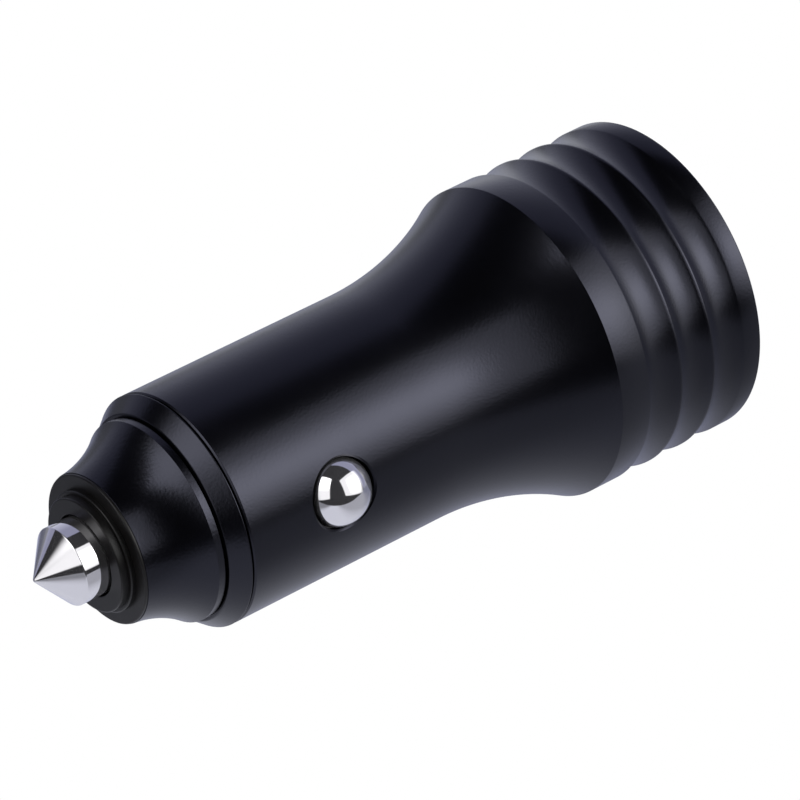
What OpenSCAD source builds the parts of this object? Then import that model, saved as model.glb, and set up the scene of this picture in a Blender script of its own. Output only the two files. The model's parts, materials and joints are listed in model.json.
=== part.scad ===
// Car USB charger plug: turned metal body with a sprung tip contact, two sprung
// side contacts and two USB sockets. It stands on its wide end with the tip up.
// +Z runs along the plug's axis, from the centre of the wide end to the tip.

/* [Head] */
// Diameter of the wide end that stays outside the socket
head_d = 28.3; // [27.6:0.1:31]
// Length of the smooth band in front of the grip grooves
head_band_l = 2.9; // [2:0.1:5]
// Number of grip grooves
groove_count = 3; // [1:1:4]
// Distance from one grip groove to the next
groove_pitch = 3.6; // [2.5:0.1:4.5]
// Depth of the grip grooves
groove_depth = 0.24; // [0.1:0.02:0.5]
// Depth of the shallower groove next to the smooth band
first_groove_depth = 0.16; // [0.08:0.02:0.5]
// Width of the land between two grooves
groove_land = 0.14; // [0.08:0.02:0.5]
// Length of the band behind the last groove
end_band_l = 1.75; // [1.2:0.05:4]
// Chamfer round the wide end
end_chamfer = 0.15; // [0.1:0.05:0.6]
// Length of the curve from the head down to the barrel
flare_l = 14.4; // [10:0.1:18]

/* [Barrel] */
// Diameter of the barrel, a slide fit in a 21 mm car socket
barrel_d = 20.7; // [20.3:0.1:21.5]
// Length of the straight barrel
barrel_l = 21.4; // [20:0.1:26]
// Wall of the barrel
barrel_wall = 1.15; // [0.9:0.05:1.3]
// Chamfer on each side of the front seam
seam_chamfer = 0.14; // [0.05:0.01:0.3]
// Width of the shadow gap at the front seam
seam_gap = 0.12; // [0.05:0.01:0.3]
// Depth of the shadow gap at the front seam
seam_gap_depth = 0.5; // [0.2:0.05:0.7]

/* [Nose cap] */
// Length of the rounded band in front of the seam
nose_band_l = 1.74; // [1.65:0.05:3]
// Length of the band's straight part, behind its taper
nose_band_land = 0.06; // [0.02:0.01:0.2]
// How far the band tapers in to its front edge
nose_band_taper = 1.14; // [0.6:0.02:1.16]
// Chamfer on the band's front edge
nose_band_chamfer = 0.08; // [0.04:0.01:0.15]
// Width of the turned groove in front of the band
nose_groove_w = 0.15; // [0.1:0.05:0.6]
// Depth of the turned groove under the lip
nose_groove_depth = 0.7; // [0.3:0.05:0.9]
// Distance of the lip's edge from the barrel's diameter, radially
lip_inset = 1.42; // [1.2:0.02:2.2]
// Length of the lip
lip_l = 0.68; // [0.4:0.02:1.5]
// Length of the hollow curve in front of the lip
cove_l = 5.41; // [4.5:0.1:7]
// Height of the hollow curve, from the cap's neck out to the lip
cove_rise = 2.25; // [1.8:0.05:2.5]
// Length of the spigot that goes into the barrel
spigot_l = 3.7; // [3:0.1:4.5]
// Radial clearance of the spigot in the barrel
spigot_gap = 0.05; // [0.02:0.01:0.15]
// Wall of the cap's neck
neck_wall = 0.63; // [0.5:0.01:0.8]

/* [Nose insulator] */
// Distance of the rear step's edge from the edge of the cap's neck
step_inset = 0.06; // [0:0.01:0.3]
// Width of each step
step_w = 0.76; // [0.4:0.02:0.9]
// Length of the rear step
rear_step_l = 0.25; // [0.2:0.05:0.8]
// Length of the two front steps
step_l = 0.6; // [0.3:0.05:1]
// Chamfer on the steps
step_chamfer = 0.12; // [0.05:0.01:0.2]
// Chamfer round the mouth of the guide bore
mouth_chamfer = 0.2; // [0.05:0.05:0.4]
// Radial clearance of the sleeve in the cap
sleeve_gap = 0.05; // [0.02:0.01:0.1]
// Wall of the sleeve
sleeve_wall = 1.45; // [1:0.05:1.6]
// Length of the guide bore, above the spring chamber
insulator_front = 3.2; // [2.5:0.1:4]
// Width of the shoulder between the spring chamber and the guide bore
guide_shoulder = 0.94; // [0.6:0.02:1.4]
// How far the sleeve's open end stands out of the cap's spigot
sleeve_out = 0.3; // [0.1:0.05:0.6]
// Thickness of the terminal disc in the sleeve
terminal_t = 0.8; // [0.4:0.1:1.5]

/* [Tip contact] */
// Length of the shank that shows in front of the insulator
tip_shank_l = 2.2; // [2.2:0.05:4]
// Length of the cone
tip_cone_l = 2.88; // [2:0.02:5]
// Radius of the small ball at the point
tip_point_r = 0.3; // [0.2:0.05:0.6]
// Chamfer between the cone and the shank
tip_chamfer = 0.1; // [0.05:0.01:0.3]
// Radial running clearance of the tip contact
tip_gap = 0.16; // [0.04:0.01:0.2]
// Radial clearance of the tip contact's retaining flange
tip_flange_gap = 0.13; // [0.05:0.01:0.2]
// Thickness of the retaining flange
tip_flange_t = 1.2; // [0.8:0.1:2]
// Free space between the flange and its stop
tip_stop_gap = 0.12; // [0.05:0.01:0.3]
// Travel of the tip contact
tip_travel = 2; // [1:0.1:2.1]

/* [Side contacts] */
// Distance of the side contacts from the front seam
side_from_seam = 9.6; // [8.8:0.1:10.4]
// Diameter of the rounded side contact
side_d = 6; // [4:0.1:6.4]
// How far the side contact stands out of the barrel
side_proud = 1.6; // [0.8:0.05:2]
// Radial running clearance of the side contact in the barrel
side_gap = 0.08; // [0.04:0.01:0.1]
// Diameter of the side contact's retaining flange
side_flange_d = 7.6; // [7.2:0.1:7.8]
// Thickness of the retaining flange
side_flange_t = 0.8; // [0.5:0.1:1.5]
// Free space between the flange and the barrel's inner wall
side_stop_gap = 0.15; // [0.05:0.01:0.3]
// Travel of the side contacts
side_travel = 1.3; // [0.8:0.1:1.6]

/* [Springs] */
// Diameter of the tip spring's wire
tip_wire_d = 0.6; // [0.3:0.05:0.8]
// Radial clearance of the tip spring in its chamber
tip_spring_gap = 0.75; // [0.3:0.05:1.2]
// Turns of the tip spring
tip_spring_turns = 6; // [5:1:8]
// Diameter of the side springs' wire
side_wire_d = 0.4; // [0.3:0.05:0.6]
// Distance of the side springs from the edge of their seats
side_spring_inset = 0.7; // [0.2:0.05:1.2]
// Turns of the side springs
side_spring_turns = 6; // [5:1:8]
// Free space at each end of a spring
spring_end_gap = 0.05; // [0.02:0.01:0.2]

/* [Contact carrier] */
// Thickness of the carrier between its cross bore and the board
carrier_floor = 0.5; // [0.4:0.05:1.5]
// Radial clearance of the plastic pieces in the barrel
liner_gap = 0.1; // [0.05:0.01:0.3]
// Half thickness of the wall between the two side springs
carrier_web = 1; // [0.7:0.05:1.5]
// Thickness of the metal strips
strip_t = 0.4; // [0.2:0.05:0.6]
// Width of the metal strips
strip_w = 2.4; // [1.5:0.1:3]
// Clearance round the metal strips and the lead in the carrier
strip_gap = 0.1; // [0.05:0.01:0.2]
// Radial clearance of the side springs' seats in the cross bore
seat_gap = 0.4; // [0.1:0.05:0.8]
// Length of the ground strip's tab on the board, behind the carrier
ground_tab_on_board = 3; // [1.5:0.1:3.5]
// Overlap of the ground strip's tab with the spring seats
ground_tab_overlap = 0.8; // [0.4:0.1:1.5]
// Depth of the board's slot in the carrier
board_slot_depth = 1.2; // [0.5:0.1:1.6]

/* [Positive lead] */
// Diameter of the lead with its insulation
lead_d = 1.4; // [0.8:0.1:1.6]
// Distance between the lead and the inner housing
lead_to_housing = 1.1; // [0.5:0.1:1.6]
// Radius of the lead's bend
lead_bend_r = 2.5; // [1.5:0.1:3]
// Distance from the carrier to the lead's bend
lead_straight_l = 1.8; // [1:0.1:3]

/* [Inner housing] */
// Wall of the inner housing
housing_wall = 0.8; // [0.6:0.05:1]
// Clearance between the housing and the sockets' corners
housing_corner_gap = 0.25; // [0.1:0.05:0.6]
// Distance from the sockets' backs to the housing's taper
taper_gap = 0.2; // [0.1:0.05:1]
// Smallest step from the housing's wide part to its narrow part
taper_step = 0.3; // [0.2:0.05:1]
// Length of the taper for each millimetre that it narrows by
taper_slope = 2; // [1:0.1:3]
// Width of the rails that hold the board
rail_w = 0.9; // [0.5:0.1:1.5]
// Depth of the rails
rail_depth = 1.1; // [0.8:0.1:1.5]

/* [Face plate] */
// Diameter of the face plate
face_d = 24.6; // [24:0.1:25.6]
// Thickness of the face plate
face_t = 2; // [1.5:0.1:3]
// Depth of the face plate inside the metal rim
face_recess = 0.3; // [0.1:0.05:1]
// Clearance round the face plate
face_gap = 0.1; // [0.05:0.01:0.3]
// Chamfer round the face plate
face_chamfer = 0.3; // [0.1:0.05:0.6]
// Chamfer round the port windows
window_chamfer = 0.5; // [0.2:0.05:0.8]

/* [USB sockets] */
// Width of a socket's opening
port_w = 12.5; // [12.4:0.05:12.6]
// Height of a socket's opening
port_h = 5.12; // [5:0.02:5.3]
// Sheet thickness of a socket's shell
shell_t = 0.3; // [0.2:0.05:0.4]
// Depth of a socket's shell
shell_l = 14; // [12:0.1:15]
// Radius of a shell's outer corners
shell_corner = 0.5; // [0.45:0.05:0.8]
// Width of the windows in a shell's wide walls
shell_window_w = 2; // [1:0.1:2.5]
// Length of the windows in a shell's wide walls
shell_window_l = 5; // [3:0.1:7]
// Distance of the windows from a shell's mouth
shell_window_inset = 3.5; // [2.5:0.1:5]
// Width of a socket's tongue
tongue_w = 11.1; // [10.5:0.1:11.3]
// Thickness of a socket's tongue
tongue_t = 1.84; // [1.7:0.02:1.95]
// Distance of the tongue from the shell's outer side
tongue_offset = 0.65; // [0.5:0.05:0.8]
// Distance of the tongue from the shell's mouth
tongue_inset = 1; // [0.9:0.05:1.5]
// Depth of the block behind the tongue
tongue_block_l = 3.2; // [2:0.1:5]
// Width of the two outer contact blades
blade_w = 1; // [0.8:0.05:1.2]
// Thickness of the contact blades
blade_t = 0.25; // [0.15:0.01:0.3]
// Distance of the blades' ends from the tongue's tip
blade_inset = 1; // [0.5:0.1:2]
// Distance between the two middle blades
blade_pitch_inner = 2; // [1.8:0.1:2.2]
// Distance between the two outer blades
blade_pitch_outer = 7; // [6.8:0.1:7.2]
// Length of a blade's tail behind the shell
blade_tail_l = 1; // [0.6:0.1:2]

/* [Circuit board] */
// Thickness of the board
board_t = 1.2; // [0.8:0.1:1.6]
// Clearance between the board's edges and the housing
board_edge_gap = 0.3; // [0.2:0.05:0.6]
// Clearance between the board's wide end and the housing
board_head_gap = 0.4; // [0.4:0.05:0.6]
// Clearance on each face of the board in its rails and slot
board_face_gap = 0.08; // [0.03:0.01:0.15]
// Distance from the face plate to the board
board_front_gap = 0.4; // [0.2:0.05:1]
// Distance between the pieces on the board
parts_gap = 0.6; // [0.3:0.05:1]
// Room beside the power inductor for the small components
inductor_side_room = 3.7; // [2.5:0.1:4.5]
// Height of the power inductor
inductor_h = 3.2; // [2:0.1:4]
// Distance between the input capacitor and the inner housing
input_cap_gap = 1.4; // [0.4:0.1:2]
// Distance between the output capacitor's top and the inner housing
output_cap_gap = 0.35; // [0.2:0.05:1]
// Width of the output capacitor's base beside its can
output_cap_rim = 0.15; // [0.1:0.05:0.4]
// Thickness of the output capacitor's base
output_cap_base_t = 0.8; // [0.5:0.1:1.2]
// Length of the controller chip
chip_l = 4.9; // [3:0.1:5]
// Width of the controller chip
chip_w = 3.9; // [3:0.1:4]
// Height of the controller chip
chip_h = 1.5; // [1:0.1:1.8]
// Distance between the controller chip and the carrier
chip_gap = 2.6; // [1:0.1:3]
// Length of the small components
small_l = 1.6; // [1:0.1:2]
// Width of the small components
small_w = 0.8; // [0.5:0.05:1.2]
// Height of the small components
small_h = 0.5; // [0.3:0.05:0.8]
// Distance from one small component to the next
small_pitch = 2.2; // [2:0.1:2.6]
// Number of small components in a row
small_rows = 3; // [2:1:3]

/* [Status light] */
// Diameter of the light pipe
pipe_d = 1.6; // [1:0.1:2]
// Distance of the light pipe's middle from the sockets' sides
pipe_from_socket = 1.45; // [1.35:0.05:1.6]
// Clearance round the light pipe
pipe_gap = 0.05; // [0.02:0.01:0.1]
// Width of the light-emitting diode
led_w = 1.6; // [1:0.1:1.6]
// Height of the light-emitting diode on the board
led_h = 0.8; // [0.5:0.1:1]
// Length of the light-emitting diode
led_l = 0.8; // [0.5:0.1:1]

/* [Hidden] */

// Colours
black_metal = [0.13, 0.13, 0.15];
black_plastic = [0.1, 0.1, 0.1];
chrome = [0.85, 0.86, 0.88];
steel = [0.7, 0.71, 0.72];
brass = [0.8, 0.65, 0.35];
board_green = [0.05, 0.3, 0.18];

// Overlap that keeps cuts clear of the faces they open
cut = 0.5;
round_fn = 128;
arc_fn = 360;

// Stations along the axis, from the wide end up
head_r = head_d / 2;
head_l = head_band_l + groove_count * groove_pitch + end_band_l;
barrel_r = barrel_d / 2;
bore_r = barrel_r - barrel_wall;
flare_top = head_l + flare_l;
seam_z = flare_top + barrel_l;
band_top = seam_z + nose_band_l;
lip_z = band_top + nose_groove_w;
lip_top = lip_z + lip_l;
neck_z = lip_top + cove_l;
insulator_top = neck_z + rear_step_l + 2 * step_l;
cone_z = insulator_top + tip_shank_l;
point_z = cone_z + tip_cone_l;
spigot_z = seam_z - spigot_l;
side_z = seam_z - side_from_seam;

// Radius of an arc that leaves one radius along the axis and rises by a step
function sweep_r(rise, run) = (rise * rise + run * run) / (2 * rise);
// Radius of a cutter that leaves a groove of a chord and a depth
function scallop_r(chord, depth) = (chord * chord / 4 + depth * depth) / (2 * depth);

flare_r = sweep_r(head_r - barrel_r, flare_l);
lip_r = barrel_r - lip_inset;
neck_r = lip_r - cove_rise;
cap_bore_r = neck_r - neck_wall;
cove_r = sweep_r(lip_r - neck_r, cove_l);

// Plastic liners in the barrel
liner_r = bore_r - liner_gap;
housing_r = liner_r - housing_wall;

// Inside of the head
face_r = face_d / 2;
face_z = face_recess;
face_back = face_z + face_t;
shell_w = port_w + 2 * shell_t;
shell_h = port_h + 2 * shell_t;
shell_back = face_back + shell_l;
board_half_t = board_t / 2;
socket_corner_r = norm([shell_w / 2, board_half_t + shell_h]);
head_housing_r = max(socket_corner_r + housing_corner_gap, housing_r + taper_step);
head_bore_r = head_housing_r + housing_wall + liner_gap;
head_bore_top = shell_back + taper_gap;
taper_top = head_bore_top + (head_bore_r - bore_r) * taper_slope;

// Insulator and tip contact
sleeve_r = cap_bore_r - sleeve_gap;
chamber_r = sleeve_r - sleeve_wall;
chamber_top = insulator_top - insulator_front;
sleeve_z = spigot_z - sleeve_out;
tip_bore_r = chamber_r - guide_shoulder;
tip_r = tip_bore_r - tip_gap;
tip_spring_r = chamber_r - tip_spring_gap;
tip_flange_r = chamber_r - tip_flange_gap;
tip_flange_top = chamber_top - tip_stop_gap;
tip_flange_z = tip_flange_top - tip_flange_t;

// Spring terminal, carrier and housing
strip_z = sleeve_z - strip_t;
terminal_top = sleeve_z + terminal_t;
carrier_top = strip_z;
side_r = side_d / 2;
side_flange_r = side_flange_d / 2;
side_bore_r = side_flange_r + side_gap;
carrier_z = side_z - side_bore_r - carrier_floor - board_slot_depth;
lead_r = lead_d / 2;
lead_offset = housing_r - lead_to_housing - lead_r;
housing_top = carrier_z;

// Side contacts
side_centre_x = barrel_r + side_proud - side_r;
side_flange_x = sqrt(bore_r * bore_r - side_flange_r * side_flange_r) - side_stop_gap;
side_flange_in_x = side_flange_x - side_flange_t;
seat_x = carrier_web + strip_t;
seat_r = side_bore_r - seat_gap;
ground_tab_top = side_z - seat_r + ground_tab_overlap;

// Board and sockets
board_half_w = housing_r - board_edge_gap;
board_head_half_w = head_housing_r - board_head_gap;
board_z = face_back + board_front_gap;
board_top = carrier_z + board_slot_depth;
port_y = board_half_t + shell_h / 2;
tongue_y = board_half_t + shell_h - shell_t - tongue_offset - tongue_t;
tongue_z = face_back + tongue_inset;
parts_z = max(shell_back + blade_tail_l, taper_top) + parts_gap;
pipe_x = shell_w / 2 + pipe_from_socket;
rail_x = housing_r - rail_depth;
inductor_w = 2 * (rail_x - inductor_side_room);
chip_z = carrier_z - chip_gap - chip_l;
input_cap_r = (housing_r - board_half_t - input_cap_gap) / 2;
input_cap_l = chip_z - parts_gap - parts_z;
small_rows_l = (small_rows - 1) * small_pitch + small_l;
inductor_end_z = parts_z + max(inductor_w, small_rows_l);
output_cap_room_x = rail_x - lead_r - 2 * parts_gap;
output_cap_room_z = carrier_z - inductor_end_z - 2 * parts_gap;
output_cap_w = min(output_cap_room_x, output_cap_room_z);
output_cap_r = output_cap_w / 2 - output_cap_rim;
output_cap_x = lead_r + parts_gap + output_cap_w / 2;
output_cap_reach = output_cap_x + output_cap_r;
output_cap_top = sqrt(pow(housing_r - output_cap_gap, 2) - pow(output_cap_reach, 2));
output_cap_z = inductor_end_z + parts_gap + output_cap_w / 2;
lead_bend_z = carrier_z - lead_straight_l;
lead_board_z = lead_bend_z - lead_bend_r;

// Outline of the head: bands, grip grooves and the curve down to the barrel
module head_profile() {
    difference() {
        polygon([
            [0, 0],
            [head_r - end_chamfer, 0],
            [head_r, end_chamfer],
            [head_r, head_l],
            [0, head_l]
        ]);
        for (i = [0 : groove_count - 1]) {
            depth = i == groove_count - 1 ? first_groove_depth : groove_depth;
            cutter_r = scallop_r(groove_pitch - groove_land, depth);
            translate([
                head_r - depth + cutter_r,
                end_band_l + (i + 0.5) * groove_pitch
            ])
                circle(r = cutter_r, $fn = arc_fn);
        }
    }
    difference() {
        translate([0, head_l])
            square([head_r, flare_l]);
        translate([barrel_r + flare_r, flare_top])
            circle(r = flare_r, $fn = arc_fn);
    }
}

// Inside of the body: seat of the face plate, wide head bore, taper and barrel bore
module body_bore_profile() {
    polygon([
        [0, -cut],
        [face_r + face_gap, -cut],
        [face_r + face_gap, face_back],
        [head_bore_r, face_back],
        [head_bore_r, head_bore_top],
        [bore_r, taper_top],
        [bore_r, seam_z + cut],
        [0, seam_z + cut]
    ]);
}

module body_shell() {
    color(black_metal)
        difference() {
            rotate_extrude($fn = round_fn)
                difference() {
                    union() {
                        head_profile();
                        polygon([
                            [0, head_l],
                            [barrel_r, head_l],
                            [barrel_r, seam_z - seam_chamfer],
                            [barrel_r - seam_chamfer, seam_z],
                            [0, seam_z]
                        ]);
                    }
                    body_bore_profile();
                }
            // Openings for the two side contacts
            translate([0, 0, side_z])
                rotate([0, 90, 0])
                    cylinder(r = side_r + side_gap, h = 3 * barrel_r, center = true, $fn = 96);
        }
}

// Band of the nose cap: straight behind the seam, then tapered to its front edge
module nose_band_profile() {
    taper_z = seam_z + seam_gap + seam_chamfer + nose_band_land;
    front_r = barrel_r - nose_band_taper;
    polygon([
        [0, seam_z],
        [barrel_r, seam_z],
        [barrel_r, taper_z],
        [front_r, band_top - nose_band_chamfer],
        [front_r - nose_band_chamfer, band_top],
        [0, band_top]
    ]);
}

module nose_cap() {
    color(black_metal)
        rotate_extrude($fn = round_fn)
            difference() {
                union() {
                    nose_band_profile();
                    // Neck under the turned groove
                    square([lip_r - nose_groove_depth, lip_z + cut]);
                    // Lip and hollow curve
                    difference() {
                        translate([0, lip_z])
                            square([lip_r, neck_z - lip_z]);
                        translate([neck_r + cove_r, neck_z])
                            circle(r = cove_r, $fn = arc_fn);
                    }
                    // Spigot in the barrel
                    translate([0, spigot_z])
                        square([bore_r - spigot_gap, spigot_l]);
                }
                // Everything behind the spigot
                translate([0, -cut])
                    square([head_r, spigot_z + cut]);
                // Bore for the insulator's sleeve
                square([cap_bore_r, neck_z + cut]);
                // Shadow gap and chamfer at the seam
                translate([barrel_r - seam_gap_depth, seam_z - cut])
                    square([barrel_r, cut + seam_gap]);
                polygon([
                    [barrel_r - seam_chamfer - seam_gap, seam_z],
                    [barrel_r + cut, seam_z],
                    [barrel_r + cut, seam_z + seam_gap + seam_chamfer + cut]
                ]);
            }
}

// One step of the insulator's nose, with a chamfered front edge
module step_profile(r, z, length) {
    translate([0, z])
        polygon([
            [0, 0],
            [r, 0],
            [r, length - step_chamfer],
            [r - step_chamfer, length],
            [0, length]
        ]);
}

module nose_insulator() {
    mouth_r = tip_bore_r + mouth_chamfer;
    rear_step_r = neck_r - step_inset;
    color(black_plastic)
        rotate_extrude($fn = round_fn)
            difference() {
                union() {
                    step_profile(rear_step_r, neck_z, rear_step_l);
                    for (i = [1, 2])
                        step_profile(rear_step_r - i * step_w, neck_z, rear_step_l + i * step_l);
                    translate([0, sleeve_z])
                        square([sleeve_r, neck_z - sleeve_z]);
                }
                // Guide bore of the tip contact
                square([tip_bore_r, insulator_top + cut]);
                polygon([
                    [0, insulator_top - mouth_r],
                    [mouth_r, insulator_top],
                    [mouth_r, insulator_top + cut],
                    [0, insulator_top + cut]
                ]);
                // Spring chamber
                square([chamber_r, chamber_top]);
            }
}

module tip_contact() {
    cone_slope = (tip_r - tip_point_r) / (tip_cone_l - tip_point_r);
    color(chrome)
        rotate_extrude($fn = round_fn)
            intersection() {
                union() {
                    polygon([
                        [0, tip_flange_z],
                        [tip_flange_r, tip_flange_z],
                        [tip_flange_r, tip_flange_top],
                        [tip_r, tip_flange_top],
                        [tip_r, cone_z - tip_chamfer],
                        [tip_r - tip_chamfer * cone_slope / 2, cone_z + tip_chamfer / 2],
                        [tip_point_r, point_z - tip_point_r],
                        [0, point_z - tip_point_r]
                    ]);
                    translate([0, point_z - tip_point_r])
                        circle(r = tip_point_r, $fn = 64);
                }
                square([head_r, point_z]);
            }
}

// Round wire coiled about +Z from z = 0 to z = length, with closed end turns
module coil_spring(outer_r, wire_d, length, turns) {
    sides = 8;
    steps = 16;
    wire_r = wire_d / 2;
    mid_r = outer_r - wire_r;
    closed_pitch = wire_d * 1.1;
    open_turns = turns - 2;
    open_pitch = (length - wire_d - 2 * closed_pitch) / open_turns;
    last = turns * steps;
    function rise(turn) =
        turn < 1 ? closed_pitch * turn
        : turn < turns - 1 ? closed_pitch + open_pitch * (turn - 1)
        : closed_pitch * (turn - turns + 2) + open_pitch * open_turns;
    points = [
        for (i = [0 : last], j = [0 : sides - 1])
            let (around = 360 * i / steps, across = 360 * j / sides)
            let (r = mid_r + wire_r * cos(across))
            [
                r * cos(around),
                r * sin(around),
                wire_r + rise(i / steps) + wire_r * sin(across)
            ]
    ];
    wall_faces = [
        for (i = [0 : last - 1], j = [0 : sides - 1], half = [0, 1])
            let (a = i * sides + j, b = i * sides + (j + 1) % sides)
            half == 0 ? [a, b, b + sides] : [a, b + sides, a + sides]
    ];
    end_faces = [
        [for (j = [sides - 1 : -1 : 0]) j],
        [for (j = [0 : sides - 1]) last * sides + j]
    ];
    polyhedron(points = points, faces = concat(wall_faces, end_faces));
}

module tip_spring() {
    color(steel)
        translate([0, 0, terminal_top + spring_end_gap])
            coil_spring(
                tip_spring_r,
                tip_wire_d,
                tip_flange_z - terminal_top - 2 * spring_end_gap,
                tip_spring_turns
            );
}

// Disc in the sleeve's open end, with a tail that runs out to the lead
module spring_terminal() {
    fit = 0.05;
    tail_end = lead_offset + lead_r;
    color(brass) {
        translate([0, 0, sleeve_z])
            cylinder(r = chamber_r - fit, h = terminal_top - sleeve_z, $fn = 96);
        translate([-strip_w / 2, -strip_w / 2, strip_z])
            cube([strip_w, tail_end + strip_w / 2, strip_t]);
    }
}

// Lead from the terminal's tail through the carrier to the board
module positive_lead() {
    color([0.7, 0.1, 0.08]) {
        translate([0, lead_offset, lead_bend_z])
            cylinder(r = lead_r, h = carrier_top - lead_bend_z, $fn = 32);
        translate([0, lead_offset - lead_bend_r, lead_bend_z])
            rotate([0, 90, 0])
                rotate_extrude(angle = 90, $fn = 64)
                    translate([lead_bend_r, 0])
                        circle(r = lead_r, $fn = 32);
        translate([0, board_half_t, lead_board_z])
            rotate([-90, 0, 0])
                cylinder(r = lead_r, h = lead_offset - lead_bend_r - board_half_t, $fn = 32);
    }
}

// Block that carries the side contacts and their springs in a cross bore
module contact_carrier() {
    slot_w = 2 * board_half_w + board_edge_gap;
    slot_t = board_t + 2 * board_face_gap;
    color(black_plastic)
        difference() {
            translate([0, 0, carrier_z])
                cylinder(r = liner_r, h = carrier_top - carrier_z, $fn = round_fn);
            // Cross bore from each side, up to the middle wall
            for (side = [-1, 1])
                translate([side * carrier_web, 0, side_z])
                    rotate([0, side * 90, 0])
                        cylinder(r = side_bore_r, h = liner_r, $fn = 96);
            // Slot for the end of the board
            translate([-slot_w / 2, -slot_t / 2, carrier_z - cut])
                cube([slot_w, slot_t, board_slot_depth + cut + strip_gap]);
            // Slot for the ground strip
            translate([-seat_x - strip_gap, 0, carrier_z - cut])
                cube([
                    2 * (seat_x + strip_gap),
                    board_half_t + strip_t + strip_gap,
                    ground_tab_top + strip_gap - carrier_z + cut
                ]);
            // Hole for the positive lead
            translate([0, lead_offset, carrier_z - cut])
                cylinder(r = lead_r + strip_gap, h = carrier_top - carrier_z + 2 * cut, $fn = 32);
        }
}

// Domed contact on a shank, with the flange that keeps it in the barrel.
// It is drawn along +Z, from the plug's axis outwards.
module side_contact_shape() {
    rotate_extrude($fn = 96)
        intersection() {
            union() {
                translate([0, side_flange_in_x])
                    square([side_flange_r, side_flange_t]);
                translate([0, side_flange_in_x])
                    square([side_r, side_centre_x - side_flange_in_x]);
                translate([0, side_centre_x])
                    circle(r = side_r, $fn = arc_fn);
            }
            translate([0, side_flange_in_x])
                square([side_flange_r, side_centre_x + side_r]);
        }
}

module side_contact(side) {
    color(chrome)
        translate([0, 0, side_z])
            rotate([0, side * 90, 0])
                side_contact_shape();
}

module side_contact_right() {
    side_contact(1);
}

module side_contact_left() {
    side_contact(-1);
}

module side_spring(side) {
    color(steel)
        translate([0, 0, side_z])
            rotate([0, side * 90, 0])
                translate([0, 0, seat_x + spring_end_gap])
                    coil_spring(
                        seat_r - side_spring_inset,
                        side_wire_d,
                        side_flange_in_x - seat_x - 2 * spring_end_gap,
                        side_spring_turns
                    );
}

module side_spring_right() {
    side_spring(1);
}

module side_spring_left() {
    side_spring(-1);
}

// Two spring seats joined by a tongue that lies on the board
module ground_strip() {
    tab_z = carrier_z - ground_tab_on_board;
    color(brass) {
        for (side = [-1, 1])
            translate([side * carrier_web, 0, side_z])
                rotate([0, side * 90, 0])
                    cylinder(r = seat_r, h = strip_t, $fn = 64);
        translate([-seat_x, board_half_t, tab_z])
            cube([2 * seat_x, strip_t, ground_tab_top - tab_z]);
    }
}

// Sleeve that keeps the board clear of the metal body, with rails for the board
module inner_housing() {
    head_outer_r = head_housing_r + housing_wall;
    rail_y = board_half_t + board_face_gap;
    color(black_plastic) {
        rotate_extrude($fn = round_fn)
            polygon([
                [head_housing_r, face_back],
                [head_outer_r, face_back],
                [head_outer_r, head_bore_top],
                [liner_r, taper_top],
                [liner_r, housing_top],
                [housing_r, housing_top],
                [housing_r, taper_top],
                [head_housing_r, head_bore_top]
            ]);
        intersection() {
            for (side = [0, 1], face = [0, 1])
                mirror([side, 0, 0])
                    mirror([0, face, 0])
                        translate([rail_x, rail_y, taper_top])
                            cube([liner_r - rail_x, rail_w, housing_top - taper_top]);
            translate([0, 0, taper_top])
                cylinder(r = liner_r, h = housing_top - taper_top, $fn = round_fn);
        }
    }
}

// Board that is wider between the sockets and narrow in the barrel
module circuit_board() {
    color(board_green) {
        translate([-board_half_w, -board_half_t, board_z])
            cube([2 * board_half_w, board_t, board_top - board_z]);
        translate([-board_head_half_w, -board_half_t, board_z])
            cube([2 * board_head_half_w, board_t, shell_back - board_z]);
    }
}

// Places a socket piece, drawn on the board's +Y face, on the face for its side
module on_side(side) {
    mirror([0, side > 0 ? 0 : 1, 0])
        children();
}

// Folded shell with rounded corners, open at the mouth and the back
module usb_shell(side) {
    color(steel)
        on_side(side)
            translate([0, port_y, face_back])
                difference() {
                    linear_extrude(shell_l)
                        difference() {
                            rounded_rect(shell_w, shell_h, shell_corner);
                            rounded_rect(port_w, port_h, shell_corner - shell_t);
                        }
                    // Windows that free the spring fingers in the two wide walls
                    for (x = [-1, 1])
                        translate([
                            x * port_w / 4 - shell_window_w / 2,
                            -shell_h,
                            shell_window_inset
                        ])
                            cube([shell_window_w, 2 * shell_h, shell_window_l]);
                }
}

module usb_shell_a() {
    usb_shell(1);
}

module usb_shell_b() {
    usb_shell(-1);
}

module rounded_rect(w, h, r) {
    square([w - 2 * r, h], center = true);
    square([w, h - 2 * r], center = true);
    for (x = [-1, 1], y = [-1, 1])
        translate([x * (w / 2 - r), y * (h / 2 - r)])
            circle(r = r, $fn = 32);
}

// Centres of the four blades across a socket
blade_xs = [-blade_pitch_outer / 2, -blade_pitch_inner / 2, blade_pitch_inner / 2, blade_pitch_outer / 2];

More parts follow.
